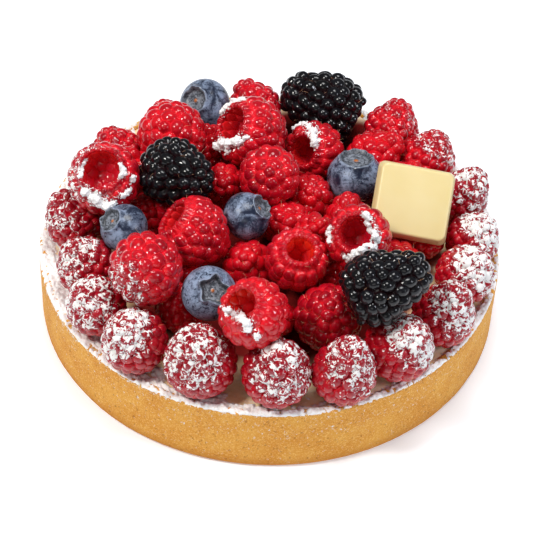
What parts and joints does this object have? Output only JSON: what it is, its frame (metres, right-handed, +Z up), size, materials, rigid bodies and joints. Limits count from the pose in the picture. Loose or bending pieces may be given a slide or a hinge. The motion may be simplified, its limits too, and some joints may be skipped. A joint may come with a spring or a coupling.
{
  "type": "raspberry tart",
  "caption": "Round ring-baked tart: a straight crust filled with almond cream, heaped with raspberries, brambles and blueberries, with a plain white chocolate slab and icing sugar.",
  "frame": {"origin": "middle of the flat underside of the crust, on the surface that the tart stands on", "axes": "+Z up along the tart's axis, the side seen in the picture faces -Y, +X to the right of it"},
  "size_m": [0.16, 0.1606, 0.0683],
  "materials": {
    "pastry": "golden baked shortcrust with a fine sandy grain",
    "almond_cream": "baked almond cream, tan and slightly rough",
    "raspberry": "juicy red beads with a soft gloss",
    "bramble": "glossy blue-black beads",
    "blueberry": "dark blue skin under a pale waxy bloom",
    "white_chocolate": "smooth ivory chocolate with a soft sheen",
    "icing_sugar": "fine white powder"
  },
  "bodies": {
    "root": {"tart_shell": "pastry", "almond_cream": "almond_cream", "raspberry_01": "raspberry", "raspberry_02": "raspberry", "raspberry_03": "raspberry", "raspberry_04": "raspberry", "raspberry_05": "raspberry", "raspberry_06": "raspberry", "raspberry_07": "raspberry", "raspberry_08": "raspberry", "raspberry_09": "raspberry", "raspberry_10": "raspberry", "raspberry_11": "raspberry", "raspberry_12": "raspberry", "raspberry_13": "raspberry", "raspberry_14": "raspberry", "raspberry_15": "raspberry", "raspberry_16": "raspberry", "raspberry_17": "raspberry", "raspberry_18": "raspberry", "raspberry_19": "raspberry", "raspberry_20": "raspberry", "raspberry_21": "raspberry", "raspberry_22": "raspberry", "raspberry_23": "raspberry", "raspberry_24": "raspberry", "raspberry_25": "raspberry", "raspberry_26": "raspberry", "raspberry_27": "raspberry", "raspberry_28": "raspberry", "raspberry_29": "raspberry", "raspberry_30": "raspberry", "raspberry_31": "raspberry", "raspberry_32": "raspberry", "raspberry_33": "raspberry", "raspberry_34": "raspberry", "raspberry_35": "raspberry", "raspberry_36": "raspberry", "raspberry_37": "raspberry", "raspberry_38": "raspberry", "raspberry_39": "raspberry", "raspberry_40": "raspberry", "raspberry_41": "raspberry", "raspberry_42": "raspberry", "raspberry_43": "raspberry", "raspberry_44": "raspberry", "raspberry_45": "raspberry", "raspberry_46": "raspberry", "bramble_1": "bramble", "bramble_2": "bramble", "bramble_3": "bramble", "blueberry_1": "blueberry", "blueberry_2": "blueberry", "blueberry_3": "blueberry", "blueberry_4": "blueberry", "blueberry_5": "blueberry", "chocolate_slab": "white_chocolate"}
  },
  "joints": []
}
